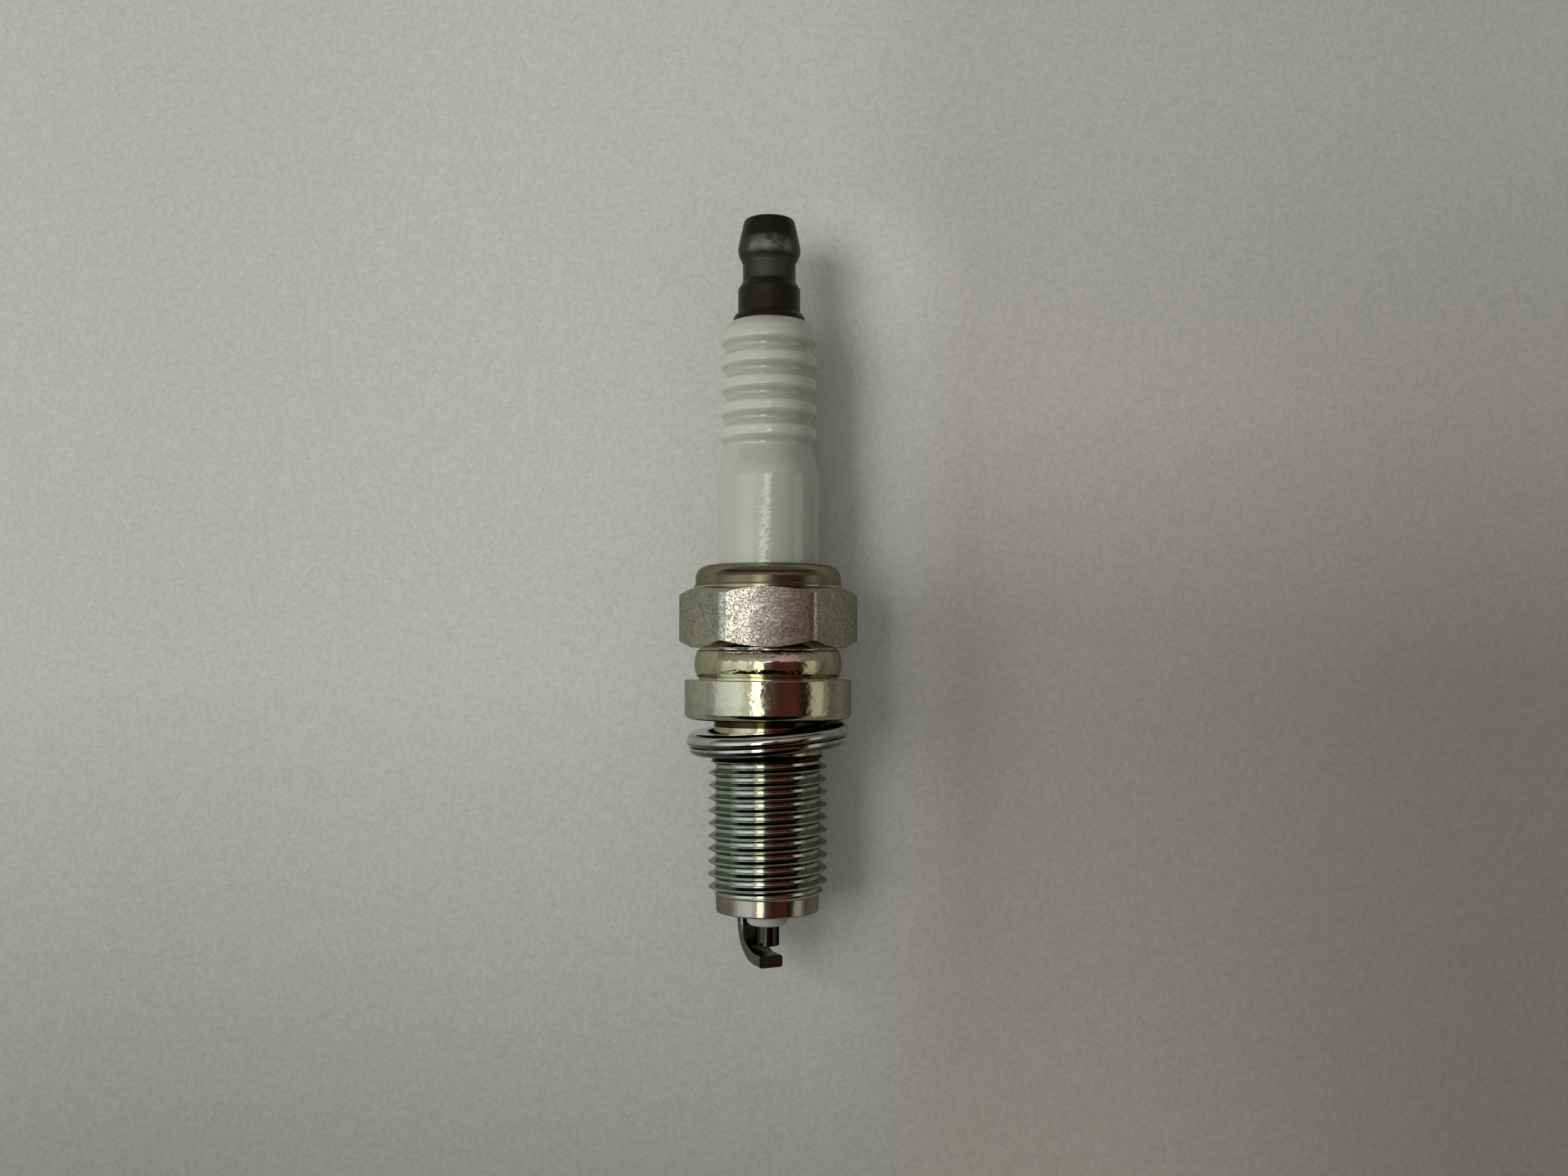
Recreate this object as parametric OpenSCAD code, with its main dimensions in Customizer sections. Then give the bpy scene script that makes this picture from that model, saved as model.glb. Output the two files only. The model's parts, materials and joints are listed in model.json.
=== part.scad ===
// Spark plug: M12 x 1.25 thread, 19 mm reach, 16 mm hexagon, captive folded gasket.
// Heights are counted along the plug's axis from the seat face: the terminal is on the plus side and
// the firing end on the minus side. Each piece is drawn upright and laid down by on_side(), so the
// finished plug lies along +Y with one flat of the hexagon facing up.

/* [Shell] */
// Seat face to the shell's end face
reach = 19; // [15:0.5:26.5]
// Outer diameter of the thread
thread_d = 11.86; // [9.9:0.02:14.4]
// Length of the plain neck that the gasket hangs on
neck_h = 4.1; // [3.6:0.1:6]
// How far the neck lies below the thread's crests
neck_cut = 0.52; // [0.4:0.02:0.7]
// Length of the plain pilot past the thread
pilot_h = 1.6; // [1:0.1:2.5]
// How far the pilot lies below the thread's crests
pilot_cut = 0.82; // [0.7:0.01:1]
// Wall round the firing chamber, at the end face
pilot_wall = 1.55; // [1.2:0.05:1.9]
// Wall of the neck, inside the gasket
neck_wall = 1.5; // [1.2:0.05:1.9]
// How far the collar reaches past the gasket
collar_past = 0.2; // [0.1:0.05:0.6]
// Height of the collar
collar_h = 3.95; // [3:0.05:5]
// Rounding of the collar's lower edge
collar_round = 0.65; // [0.2:0.05:1]
// Wall of the buckled ring at its two rims
buckle_wall = 0.8; // [0.7:0.05:1.1]
// Height of the buckled ring
buckle_h = 2.7; // [2.2:0.1:3.4]
// How far the buckled ring swells past its rims
buckle_swell = 0.26; // [0.1:0.02:0.4]
// Hexagon across flats
hex_af = 15.8; // [13.3:0.1:19.2]
// Height of the hexagon
hex_h = 5.95; // [5:0.05:8]
// Rounding of the hexagon's corners
hex_corner = 1.1; // [0.3:0.1:1.4]
// Wall of the crimp beside the powder
crimp_side = 1; // [0.8:0.05:1.2]
// Height of the crimp above the hexagon
crimp_h = 2.35; // [1.9:0.05:3]
// Thickness of the metal where it is rolled over
crimp_wall = 0.85; // [0.7:0.05:1]
// Rounding of the crimp's outer edge
crimp_round = 1.3; // [0.9:0.1:1.6]

/* [Insulator] */
// Seat face to the insulator's top
insulator_top = 40; // [33:0.5:48]
// Diameter of the plain barrel
barrel_d = 10.3; // [8.6:0.05:12.5]
// Width of the powder ring round the barrel
powder_w = 1.175; // [0.9:0.025:1.5]
// Diameter over the ribs
rib_d = 9.85; // [8.1:0.05:11.7]
// Number of ribs
rib_count = 5; // [3:1:6]
// Distance from one rib to the next
rib_pitch = 2.43; // [2:0.05:3]
// Width of the groove between two ribs
groove_w = 1.55; // [1.2:0.05:1.8]
// Depth of the groove's sharp V, before its floor is rounded
groove_depth = 0.8; // [0.5:0.05:0.9]
// Insulator's top down to the first groove
top_rib_h = 2.93; // [2.4:0.05:3.5]
// Height over which the last groove runs out into the barrel
flare_h = 2.45; // [1.5:0.1:3]
// How far the nose stands out of the end face
nose_out = 1.4; // [0.5:0.1:2.5]
// Diameter of the nose at its tip
nose_d = 4; // [3.6:0.1:4.8]
// Clearance round the nose at the shell's inner ledge
nose_room = 0.3; // [0.2:0.05:0.5]

/* [Terminal] */
// Insulator's top to the terminal's top
terminal_h = 10.6; // [8.7:0.1:12.6]
// Diameter of the terminal's skirt
terminal_d = 6.3; // [5.2:0.05:7.6]
// How far the terminal's neck lies below its skirt
terminal_cut = 0.475; // [0.3:0.025:0.7]
// How far the flange on the insulator stands out of the skirt
flange_out = 0.525; // [0.3:0.025:0.8]
// Height of the flange
flange_h = 1; // [0.7:0.1:1.4]
// Diameter of the shank in the bore
shank_d = 3.56; // [2.9:0.02:4.3]

/* [Firing end] */
// Diameter of the centre electrode
electrode_d = 2.38; // [1.9:0.02:2.9]
// How far the centre electrode stands out of the nose
electrode_out = 2; // [1:0.1:3]
// Depth of the groove across the electrode's tip
tip_groove = 0.4; // [0.2:0.05:0.6]
// Gap between the electrodes
spark_gap = 0.9; // [0.6:0.05:1.1]
// Width of the ground strap
strap_w = 2.5; // [2:0.1:3]
// Thickness of the ground strap
strap_t = 1.2; // [1:0.05:1.5]
// Inner radius of the strap's bend
strap_bend = 2.95; // [2.4:0.05:3.6]
// How far the strap reaches past the axis
strap_past = 0.95; // [0.3:0.05:1.2]
// Direction of the strap round the axis, in degrees
strap_turn = -65; // [-180:5:180]

/* [Gasket] */
// Width of the gasket, from its hole to its rim
gasket_w = 2.4; // [2.1:0.05:3]
// Clearance between the gasket's hole and the neck, at each side
gasket_loose = 0.35; // [0.25:0.05:0.45]
// Thickness of the folded sheet
sheet_t = 0.35; // [0.25:0.01:0.42]
// Height of the upper fold, above the seam
upper_fold_h = 1.3; // [1.1:0.05:1.6]
// Depth of the lower fold, below the seam
lower_fold_h = 0.9; // [0.75:0.05:1.1]
// Smallest gap between the loose gasket and the seat face
gasket_gap = 0.16; // [0.1:0.02:0.4]
// Tilt of the loose gasket, in degrees
gasket_tilt = 4.9; // [0:0.1:6]
// Direction round the axis in which the gasket leans up, in degrees
gasket_lean = 31; // [-180:1:180]

/* [Hidden] */
$fn = 128;

// Clearance between two pieces that touch all round inside the plug
fit_gap = 0.02;
// Clearance between the insulator and the shell where nothing seals them
side_gap = 0.15;
// How far a cutter runs past the face that it opens
over = 0.5;
// How far a rounding circle reaches past its edges, so that it surely meets them
hair = 0.0002;

// Insulator, outside
barrel_r = barrel_d / 2;
rib_r = rib_d / 2;
first_groove = insulator_top - top_rib_h;
last_groove = first_groove - (rib_count - 1) * rib_pitch;
rib_edge = 0.3;
groove_round = 0.7;
flare_cut = 0.6;
flare_round = 5;
top_land = 1.1;
top_slope_h = 0.8;
top_round = 2.3;
foot_round = 0.4;

// Shell, outside
shell_end = -reach;
thread_r = thread_d / 2;
neck_r = thread_r - neck_cut;
pilot_r = thread_r - pilot_cut;
thread_bottom = shell_end + pilot_h;
thread_top = -neck_h;
pilot_step = 0.05;
pilot_step_h = 0.9;
hole_r = neck_r + gasket_loose;
rim_r = hole_r + gasket_w;
collar_r = rim_r + collar_past;
cavity_r = barrel_r + powder_w;
crimp_r = cavity_r + crimp_side;
buckle_r = cavity_r + buckle_wall;
undercut = 0.2;
undercut_h = 0.22;
buckle_bottom = collar_h + undercut_h;
buckle_top = buckle_bottom + buckle_h;
hex_bottom = buckle_top + undercut_h;
hex_top = hex_bottom + hex_h;
hex_chamfer = 30;
hex_chamfer_in = 0.15;
crimp_top = hex_top + crimp_h;
crimp_foot = 0.12;
crimp_foot_h = 0.3;
crimp_rise = 0.15;
edge_round = 0.12;

// Shell, inside
chamber_r = pilot_r - pilot_wall;
mouth_chamfer = 0.1;
seat_slope = 30;
bore_r = neck_r - neck_wall;
ledge_r = bore_r - 0.9;
ledge_h = 1;
ledge_top = -9.6;
cavity_bottom = 1.6;
crimp_under = crimp_top - crimp_wall;
crimp_lip_gap = 0.08;

// Insulator, inside the shell
shoulder_r = cavity_r - side_gap;
middle_r = bore_r - side_gap;
nose_root_r = ledge_r - nose_room;
nose_tip = shell_end - nose_out;
packing_t = 0.3;
step_gap = (packing_t + 2 * fit_gap) / cos(seat_slope);
wide_bore_r = shank_d / 2 + 0.17;
narrow_bore_r = electrode_d / 2 + 0.08;
electrode_seat = -4.4;

// Packings and powder between barrel and shell
wire_r = powder_w / 2 - fit_gap;
wire_at = barrel_r + powder_w / 2;
upper_wire = crimp_under - powder_w / 2;
lower_wire = upper_wire - 4.07;
shoulder_top = lower_wire - powder_w / 2;

// What stands in the insulator's bore
fill_r = wide_bore_r - fit_gap;
head_r = wide_bore_r - 0.1;
head_top = electrode_seat + 0.8;
knob_r = 1.15;
knob_top = head_top + 1.4;
core_r = 0.6;
core_cover = 1.8;
lower_seal_top = 0.5;
resistor_top = 11;
upper_seal_top = 17.5;
stud_end = 12.8;
stud_end_r = shank_d / 2 - 0.33;
knurl_pitch = 0.8;
knurl_depth = 0.16;
knurl_rings = 5;

// Terminal
terminal_r = terminal_d / 2;
terminal_neck_r = terminal_r - terminal_cut;
terminal_top = insulator_top + terminal_h;
skirt_top = insulator_top + 3.4;
neck_bottom = skirt_top + 0.8;
neck_top = terminal_top - 4.55;
belly = neck_top + 1.2;
belly_out = 0.12;
head_in = 0.6;

// Firing end
electrode_tip = nose_tip - electrode_out;
strap_inner = electrode_tip - spark_gap;
strap_outer = strap_inner - strap_t;
strap_root = pilot_r - 0.25;
strap_edge = 0.28;
tip_groove_turn = -29;

// Gasket
brow = 0.45;
heel = 0.07;
hook = 0.2;
toe = 0.25;
lower_rim_in = 0.25;
seam = 0.08;
brow_r = brow + sheet_t;
gasket_rise = (rim_r - brow_r) * sin(gasket_tilt) + (upper_fold_h - brow_r) * cos(gasket_tilt) + brow_r;
gasket_drop = gasket_rise + gasket_gap;

// A closed outline whose corners are [x, y, radius], named anticlockwise. Each rounding is a true arc,
// made smaller where its neighbours leave it too little room. An inner corner is first filled in up to
// the line across it, so that both kinds of corner are only ever cut.
module outline(corners) {
    difference() {
        polygon([for (i = [0:len(corners) - 1]) each filled_corner(corners, i)]);
        for (i = [0:len(corners) - 1]) if (corners[i].z > 0) {
            if (turns_left(corners, i)) corner_cap(corners, i); else rounding_circle(corners, i);
        }
    }
}

// What a sharp corner has outside its arc.
module corner_cap(corners, i) {
    difference() {
        polygon([
            tangent_point(corners, i, -1),
            place(corners, i) - middle(corners, i) * radius(corners, i) / 5,
            tangent_point(corners, i, 1)
        ]);
        rounding_circle(corners, i);
    }
}

module rounding_circle(corners, i) {
    translate(place(corners, i) + middle(corners, i) * radius(corners, i) / sin(half_angle(corners, i)))
        circle(radius(corners, i) + hair);
}

function filled_corner(corners, i) = corners[i].z > 0 && !turns_left(corners, i)
    ? [tangent_point(corners, i, -1), tangent_point(corners, i, 1)]
    : [place(corners, i)];
function unit(v) = v / norm(v);
function corner(corners, i) = corners[(i + len(corners)) % len(corners)];
function place(corners, i) = [corner(corners, i).x, corner(corners, i).y];
function edge(corners, i, step) = place(corners, i + step) - place(corners, i);
function turns_left(corners, i) = cross(edge(corners, i, 1), edge(corners, i, -1)) > 0;
function half_angle(corners, i) = acos(unit(edge(corners, i, -1)) * unit(edge(corners, i, 1))) / 2;

// How far from the corner its arc starts: as wanted, or all but a little of what the edges can give.
function wanted(corners, i) = corner(corners, i).z / tan(half_angle(corners, i));
function room(corners, i, step) = 0.98 * norm(edge(corners, i, step))
    / (wanted(corners, i) + wanted(corners, i + step));
function tangent(corners, i) = wanted(corners, i) * min(1, room(corners, i, -1), room(corners, i, 1));
function tangent_point(corners, i, step) =
    place(corners, i) + unit(edge(corners, i, step)) * tangent(corners, i);
function radius(corners, i) = tangent(corners, i) * tan(half_angle(corners, i));
function middle(corners, i) = unit(unit(edge(corners, i, -1)) + unit(edge(corners, i, 1)));

// A turned piece: the outline of half its section, spun round the axis.
module turned(corners) {
    rotate_extrude() outline(corners);
}

// Lays an upright piece on its side, with its own -Y side facing up.
module on_side() {
    rotate([-90, 0, 0]) children();
}

module terminal_stud() {
    color([0.16, 0.16, 0.15]) on_side() {
        turned(concat(
            [[0, stud_end, 0], [stud_end_r, stud_end, 0.3]],
            [for (i = [1:knurl_rings]) each knurl_ring(stud_end + i * knurl_pitch)],
            [
                [stud_end_r, upper_seal_top, 0],
                [shank_d / 2, upper_seal_top + 0.3, 0],
                [shank_d / 2, insulator_top, 0],
                [terminal_r, insulator_top, 0],
                [terminal_r, skirt_top, 0.3],
                [terminal_neck_r, neck_bottom, 0.2],
                [terminal_neck_r, neck_top, 0.4],
                [terminal_r + belly_out, belly, 1.8],
                [terminal_r - head_in, terminal_top, 0.45],
                [0, terminal_top, 0]
            ]
        ));
        turned([
            [0, insulator_top, 0],
            [terminal_r + flange_out, insulator_top, 0],
            [terminal_r + flange_out, insulator_top + flange_h, 0.85 * flange_h],
            [0, insulator_top + flange_h, 0]
        ]);
    }
}

function knurl_ring(at) = [
    [stud_end_r, at - knurl_depth, 0],
    [stud_end_r - knurl_depth, at, 0],
    [stud_end_r, at + knurl_depth, 0]
];

module insulator() {
    color([0.93, 0.93, 0.88]) on_side() difference() {
        turned(concat(insulator_inside_shell(), insulator_ribs()));
        turned([
            [0, nose_tip - over, 0],
            [narrow_bore_r, nose_tip - over, 0],
            [narrow_bore_r, electrode_seat - 0.55, 0],
            [wide_bore_r, electrode_seat - 0.05, 0],
            [wide_bore_r, insulator_top + over, 0],
            [0, insulator_top + over, 0]
        ]);
    }
}

// From the nose's tip up to the barrel: the step that sits on the shell's ledge, and the big shoulder.
function insulator_inside_shell() = let (
    step = ledge_top + step_gap,
    rise = tan(seat_slope),
    cone = cavity_bottom + side_gap
) [
    [0, nose_tip, 0],
    [nose_d / 2, nose_tip, 0.5],
    [nose_root_r, step + (nose_root_r - ledge_r) * rise, 0.3],
    [middle_r, step + (middle_r - ledge_r) * rise, 0.3],
    [middle_r, cone, foot_round],
    [shoulder_r, cone + shoulder_r - middle_r, foot_round],
    [shoulder_r, shoulder_top, 0.5],
    [barrel_r, shoulder_top, 0.15]
];

// From the barrel up to the top: the flare, the grooves between the ribs, and the sloped top rib.
function insulator_ribs() = concat(
    [
        [barrel_r, last_groove - flare_h, flare_round],
        [rib_r - flare_cut, last_groove, groove_round],
        [rib_r, last_groove + groove_w / 2, rib_edge]
    ],
    [for (i = [rib_count - 2:-1:0]) each rib_groove(first_groove - i * rib_pitch)],
    [
        [rib_r, insulator_top - top_slope_h, top_round],
        [rib_r - top_land, insulator_top, 0.2],
        [0, insulator_top, 0]
    ]
);

function rib_groove(at) = [
    [rib_r, at - groove_w / 2, rib_edge],
    [rib_r - groove_depth, at, groove_round],
    [rib_r, at + groove_w / 2, rib_edge]
];

module metal_shell() {
    color([0.72, 0.72, 0.66]) on_side() difference() {
        union() {
            turned(shell_outside());
            hexagon();
        }
        turned(shell_inside());
    }
}

function shell_outside() = [
    [0, shell_end, 0],
    [pilot_r, shell_end, 0.15],
    [pilot_r, shell_end + pilot_step_h, 0],
    [pilot_r + pilot_step, shell_end + pilot_step_h, 0],
    [pilot_r + pilot_step, thread_bottom, 0],
    [thread_r, thread_bottom + pilot_cut, 0],
    [thread_r, thread_top - neck_cut, 0],
    [neck_r, thread_top, 0],
    [neck_r, 0, 0.2],
    [collar_r, 0, collar_round],
    [collar_r, collar_h, edge_round],
    [buckle_r - undercut, collar_h, 0],
    [buckle_r - undercut, buckle_bottom, 0],
    [buckle_r, buckle_bottom, edge_round],
    [buckle_r + 1.7 * buckle_swell, (buckle_bottom + buckle_top) / 2, 1.2 * buckle_h],
    [buckle_r, buckle_top, edge_round],
    [buckle_r - undercut, buckle_top, 0],
    [buckle_r - undercut, hex_bottom, 0],
    [crimp_r + crimp_foot, hex_bottom, 0],
    [crimp_r + crimp_foot, hex_top + crimp_foot_h, 0.1],
    [crimp_r, hex_top + crimp_foot_h, 0.1],
    [crimp_r, crimp_top - crimp_rise, crimp_round],
    [barrel_r + crimp_lip_gap, crimp_top, 0.15],
    [0, crimp_top, 0]
];

function shell_inside() = [
    [0, shell_end - over, 0],
    [chamber_r + mouth_chamfer + over, shell_end - over, 0],
    [chamber_r, shell_end + mouth_chamfer, 0],
    [chamber_r, ledge_top - ledge_h - (chamber_r - ledge_r), 0.2],
    [ledge_r, ledge_top - ledge_h, 0.2],
    [ledge_r, ledge_top, 0.1],
    [bore_r, ledge_top + (bore_r - ledge_r) * tan(seat_slope), 0],
    [bore_r, cavity_bottom, 0],
    [cavity_r, cavity_bottom + cavity_r - bore_r, 0],
    [cavity_r, crimp_under, 0.4],
    [barrel_r + crimp_lip_gap, crimp_under, 0.1],
    [barrel_r + crimp_lip_gap, crimp_top + over, 0],
    [0, crimp_top + over, 0]
];

// Hexagon with rounded corners, chamfered at both ends to a circle a little inside its flats.
module hexagon() {
    corner_r = hex_af / 2 / cos(30);
    flat_r = hex_af / 2 - hex_chamfer_in;
    drop = (corner_r - flat_r) * tan(hex_chamfer);
    intersection() {
        translate([0, 0, hex_bottom]) linear_extrude(hex_h)
            outline([for (i = [0:5]) [corner_r * cos(60 * i), corner_r * sin(60 * i), hex_corner]]);
        turned([
            [0, hex_bottom, 0],
            [flat_r, hex_bottom, 0],
            [corner_r, hex_bottom + drop, 0],
            [corner_r, hex_top - drop, 0],
            [flat_r, hex_top, 0],
            [0, hex_top, 0]
        ]);
    }
}

// The strap: a leg down from the end face, a quarter bend, and an arm under the centre electrode.
module ground_electrode() {
    bend_at = -strap_root + strap_t + strap_bend;
    bend_top = strap_inner + strap_bend;
    color([0.42, 0.41, 0.38]) on_side() rotate(strap_turn) {
        translate([-strap_root, 0, bend_top]) linear_extrude(shell_end - bend_top) strap_section();
        translate([bend_at, 0, bend_top]) rotate([90, 0, 0]) rotate([0, 0, 180])
            rotate_extrude(angle = 90) translate([strap_bend + strap_t, 0]) mirror([1, 0]) strap_section();
        translate([bend_at, 0, strap_outer]) rotate([0, 90, 0]) linear_extrude(strap_past - bend_at)
            translate([-strap_t, 0]) strap_section();
    }
}

module strap_section() {
    outline([
        [0, -strap_w / 2, strap_edge],
        [strap_t, -strap_w / 2, strap_edge],
        [strap_t, strap_w / 2, strap_edge],
        [0, strap_w / 2, strap_edge]
    ]);
}

module centre_electrode() {
    color([0.45, 0.44, 0.42]) on_side() difference() {
        turned([
            [0, electrode_tip, 0],
            [electrode_d / 2, electrode_tip, 0.06],
            [electrode_d / 2, electrode_seat - 0.5, 0],
            [head_r, electrode_seat, 0],
            [head_r, head_top, 0.15],
            [knob_r, head_top, 0],
            [knob_r, knob_top, 0.2],
            [0, knob_top, 0]
        ]);
        turned(core_outline(core_r, electrode_tip + core_cover, knob_top + over));
        translate([0, 0, electrode_tip]) rotate(tip_groove_turn) rotate([90, 0, 0])
            linear_extrude(electrode_d + over, center = true)
            polygon([[-tip_groove - over, -over], [tip_groove + over, -over], [0, tip_groove]]);
    }
}

function core_outline(radius, tip, top) = [[0, tip, 0], [radius, tip, 0.3], [radius, top, 0], [0, top, 0]];

module copper_core() {
    color([0.72, 0.42, 0.26]) on_side()
        turned(core_outline(core_r - fit_gap, electrode_tip + core_cover + fit_gap, knob_top));
}

module lower_glass_seal() {
    color([0.35, 0.35, 0.33]) on_side() turned([
        [knob_r + fit_gap, head_top + fit_gap, 0],
        [fill_r, head_top + fit_gap, 0],
        [fill_r, lower_seal_top, 0],
        [0, lower_seal_top, 0],
        [0, knob_top + fit_gap, 0],
        [knob_r + fit_gap, knob_top + fit_gap, 0.2]
    ]);
}

module resistor() {
    color([0.2, 0.2, 0.2]) on_side() turned([
        [0, lower_seal_top + fit_gap, 0],
        [fill_r, lower_seal_top + fit_gap, 0],
        [fill_r, resistor_top, 0],
        [0, resistor_top, 0]
    ]);
}

module upper_glass_seal() {
    socket_r = stud_end_r + fit_gap;
    color([0.35, 0.35, 0.33]) on_side() turned([
        [0, resistor_top + fit_gap, 0],
        [fill_r, resistor_top + fit_gap, 0],
        [fill_r, upper_seal_top - fit_gap, 0],
        [socket_r, upper_seal_top - fit_gap, 0],
        [socket_r, stud_end - fit_gap, 0.25],
        [0, stud_end - fit_gap, 0]
    ]);
}

// The washer between the shell's ledge and the insulator's step, which slope alike.
module seat_packing() {
    inner_r = ledge_r + 0.1;
    outer_r = middle_r - 0.1;
    floor_at = ledge_top + fit_gap / cos(seat_slope);
    rise = tan(seat_slope);
    height = packing_t / cos(seat_slope);
    color([0.6, 0.6, 0.58]) on_side() turned([
        [inner_r, floor_at + (inner_r - ledge_r) * rise, 0],
        [outer_r, floor_at + (outer_r - ledge_r) * rise, 0],
        [outer_r, floor_at + (outer_r - ledge_r) * rise + height, 0],
        [inner_r, floor_at + (inner_r - ledge_r) * rise + height, 0]
    ]);
}

module wire_ring(at) {
    rotate_extrude() translate([wire_at, at]) circle(wire_r);
}

module lower_ring_packing() {
    color([0.6, 0.6, 0.58]) on_side() wire_ring(lower_wire);
}

module upper_ring_packing() {
    color([0.6, 0.6, 0.58]) on_side() wire_ring(upper_wire);
}

module talc_seal() {
    color([0.88, 0.87, 0.84]) on_side() rotate_extrude() difference() {
        translate([barrel_r + fit_gap, lower_wire])
            square([powder_w - 2 * fit_gap, upper_wire - lower_wire]);
        translate([wire_at, lower_wire]) circle(wire_r + fit_gap);
        translate([wire_at, upper_wire]) circle(wire_r + fit_gap);
    }
}

// One bend of the folded sheet, a quarter of a ring that starts at a direction given in degrees.
module sheet_bend(centre, inner_r, from) {
    translate(centre) rotate(from) intersection() {
        difference() {
            circle(inner_r + sheet_t);
            circle(inner_r);
        }
        square(2 * (inner_r + sheet_t));
    }
}

// A straight stretch of the sheet between two opposite corners.
module sheet_run(low, high) {
    translate(low) square(high - low);
}

// The gasket's section: one strip of sheet folded into an S, with its seam open to the outside.
module gasket_section() {
    turn_r = (lower_fold_h - sheet_t) / 2;
    turn_at = hole_r + sheet_t + turn_r;
    top = upper_fold_h;
    bottom = -lower_fold_h;
    lower_rim_r = rim_r - lower_rim_in;
    // upper fold: hook at the hole, top, brow, rim, heel and the return to the middle
    sheet_run([hole_r, sheet_t + 0.15], [hole_r + sheet_t, top - sheet_t - hook]);
    sheet_bend([hole_r + sheet_t + hook, top - sheet_t - hook], hook, 90);
    sheet_run([hole_r + sheet_t + hook, top - sheet_t], [rim_r - brow_r, top]);
    sheet_bend([rim_r - brow_r, top - brow_r], brow, 0);
    sheet_run([rim_r - sheet_t, sheet_t + heel], [rim_r, top - brow_r]);
    sheet_bend([rim_r - sheet_t - heel, sheet_t + heel], heel, -90);
    sheet_run([turn_at, 0], [rim_r - sheet_t - heel, sheet_t]);
    // the turn at the hole, then the lower fold out to the seam
    sheet_bend([turn_at, -turn_r], turn_r, 90);
    sheet_bend([turn_at, -turn_r], turn_r, 180);
    sheet_run([turn_at, bottom], [lower_rim_r - sheet_t - toe, bottom + sheet_t]);
    sheet_bend([lower_rim_r - sheet_t - toe, bottom + sheet_t + toe], toe, -90);
    sheet_run([lower_rim_r - sheet_t, bottom + sheet_t + toe], [lower_rim_r, -seam]);
}

module gasket() {
    color([0.74, 0.76, 0.79]) on_side()
        translate([0, 0, -gasket_drop]) rotate(gasket_lean) rotate([0, -gasket_tilt, 0])
        rotate_extrude() gasket_section();
}

terminal_stud();
insulator();
metal_shell();
ground_electrode();
centre_electrode();
copper_core();
lower_glass_seal();
resistor();
upper_glass_seal();
seat_packing();
lower_ring_packing();
talc_seal();
upper_ring_packing();
gasket();
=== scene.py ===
"""Looks of a motorcycle spark plug with its captive gasket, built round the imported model."""

import json
import math
import bmesh
import bpy
import numpy as np
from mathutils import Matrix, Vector
from mathutils.bvhtree import BVHTree

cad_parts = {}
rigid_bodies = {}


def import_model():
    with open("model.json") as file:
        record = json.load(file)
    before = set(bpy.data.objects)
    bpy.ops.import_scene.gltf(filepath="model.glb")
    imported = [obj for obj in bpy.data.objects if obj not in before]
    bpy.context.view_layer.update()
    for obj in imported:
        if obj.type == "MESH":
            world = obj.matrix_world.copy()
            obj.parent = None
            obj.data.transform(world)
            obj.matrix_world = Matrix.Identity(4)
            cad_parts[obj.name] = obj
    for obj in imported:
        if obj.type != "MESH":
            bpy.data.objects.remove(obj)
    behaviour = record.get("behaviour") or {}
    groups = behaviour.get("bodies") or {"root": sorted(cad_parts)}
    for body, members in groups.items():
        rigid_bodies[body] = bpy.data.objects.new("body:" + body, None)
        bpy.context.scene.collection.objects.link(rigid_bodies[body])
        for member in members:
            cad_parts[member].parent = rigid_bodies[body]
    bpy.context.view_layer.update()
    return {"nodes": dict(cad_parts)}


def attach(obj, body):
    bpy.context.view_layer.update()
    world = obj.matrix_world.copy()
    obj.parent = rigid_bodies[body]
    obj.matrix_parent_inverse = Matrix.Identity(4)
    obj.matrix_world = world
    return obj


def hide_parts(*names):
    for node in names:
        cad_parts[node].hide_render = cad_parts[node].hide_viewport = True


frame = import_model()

bl_info = {
    "name": "Spark plug looks",
    "version": (1, 0, 0),
    "blender": (4, 5, 0),
    "location": "View3D > Sidebar > Spark plug",
    "description": "Thread, finishes, light and camera for a spark plug and its gasket",
    "category": "Object",
}

MM = 0.001
# The height on the plug's axis that the lamp points at.
PLUG_MIDDLE = 13 * MM

# The photograph's frame, with its long side at 1568.
FRAME_W, FRAME_H = 1568, 1176

# Where things show in that frame: the piece, the side of it that is read, x and y. None is unread.
IMAGE_POINTS = {
    "object_left": ("metal_shell", "left", 681.2, None),
    "object_right": ("metal_shell", "right", 854.9, None),
    "object_top": ("terminal_stud", "top", None, 213.4),
    "object_bottom": ("ground_electrode", "bottom", None, 967.6),
    "terminal_head_left": ("terminal_stud", "left", 738.6, 251.0),
    "terminal_head_right": ("terminal_stud", "right", 799.6, 251.0),
    "insulator_top": ("insulator", "top", 769.0, 317.0),
    "second_rib_left": ("insulator", "left", 720.2, 393.0),
    "second_rib_right": ("insulator", "right", 816.6, 393.0),
    "barrel_left": ("insulator", "left", 718.1, None),
    "barrel_right": ("insulator", "right", 819.4, None),
    "crimp_left": ("metal_shell", "left", 694.7, 577.0),
    "crimp_right": ("metal_shell", "right", 840.7, 577.0),
    "collar_left": ("metal_shell", "left", 684.8, 681.0),
    "collar_right": ("metal_shell", "right", 849.9, 681.0),
    "gasket_left": ("gasket", "left", 685.8, 739.0),
    "gasket_right": ("gasket", "right", 847.1, 733.0),
    "first_thread_crest": ("metal_shell", "left", 709.0, 773.1),
    "pilot_bottom": ("metal_shell", "bottom", 768.0, 919.7),
    "strap_end_corner": ("ground_electrode", "lower right", 782.9, 967.6),
}
# How far along an edge a point's vertices are looked for, in the same pixels.
POINT_REACH = 7
# What each side's vertices are sorted by, as shares of x and y.
SIDES = {"left": (-1, 0), "right": (1, 0), "top": (0, -1), "bottom": (0, 1), "lower right": (1, 1)}


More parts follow.
